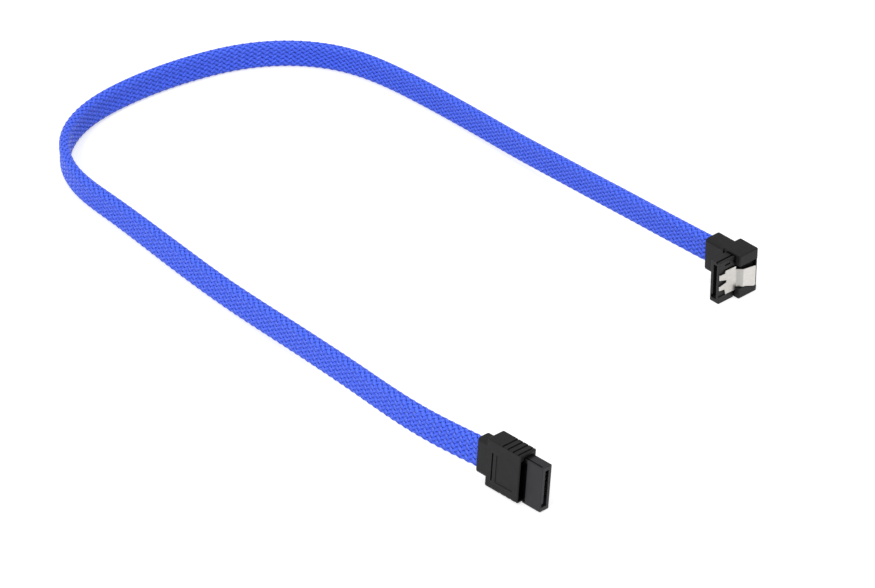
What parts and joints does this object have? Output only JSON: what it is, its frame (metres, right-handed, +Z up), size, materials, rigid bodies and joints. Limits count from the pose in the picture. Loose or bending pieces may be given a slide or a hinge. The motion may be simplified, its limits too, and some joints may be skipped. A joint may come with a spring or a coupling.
{
  "type": "sata data cable",
  "caption": "Flat data cable in a blue braided sleeve, with a straight plug at one end and a right-angle plug with a sprung metal latch at the other.",
  "frame": {"origin": "on the surface that the cable lies on, midway between the two plugs", "axes": "+Z up, +X along the straight plug's nose and out of the U's open side, +Y from the straight plug to the right-angle plug"},
  "size_m": [0.2345, 0.1291, 0.0151],
  "materials": {
    "overmould_plastic": "satin black moulded plastic with a fine spark-eroded grain",
    "insulator_plastic": "smoother satin black moulded plastic",
    "contact_metal": "gold-flashed copper alloy spring strip",
    "latch_metal": "bright nickel-plated spring steel with stamped edges",
    "braid_fabric": "royal blue braid of crossed polyester filament bundles",
    "jacket_plastic": "blue extruded jacket of the flat twin lead"
  },
  "bodies": {
    "cable": {"straight_overmould": "overmould_plastic", "straight_insulator": "insulator_plastic", "straight_contact_1": "contact_metal", "straight_contact_2": "contact_metal", "straight_contact_3": "contact_metal", "straight_contact_4": "contact_metal", "straight_contact_5": "contact_metal", "straight_contact_6": "contact_metal", "straight_contact_7": "contact_metal", "angled_overmould": "overmould_plastic", "angled_insulator": "insulator_plastic", "angled_contact_1": "contact_metal", "angled_contact_2": "contact_metal", "angled_contact_3": "contact_metal", "angled_contact_4": "contact_metal", "angled_contact_5": "contact_metal", "angled_contact_6": "contact_metal", "angled_contact_7": "contact_metal", "cable_jacket": "jacket_plastic", "braided_sleeve": "braid_fabric"},
    "latch": {"latch_spring": "latch_metal"}
  },
  "joints": [
    {"name": "latch_press", "type": "hinge", "parent": "cable", "child": "latch", "pos_m": [-0.01157, 0.04789, 0.006], "axis": [0, 0, 1], "range_deg": [0, 3.3], "stiffness_Nm_per_rad": 0.3}
  ]
}
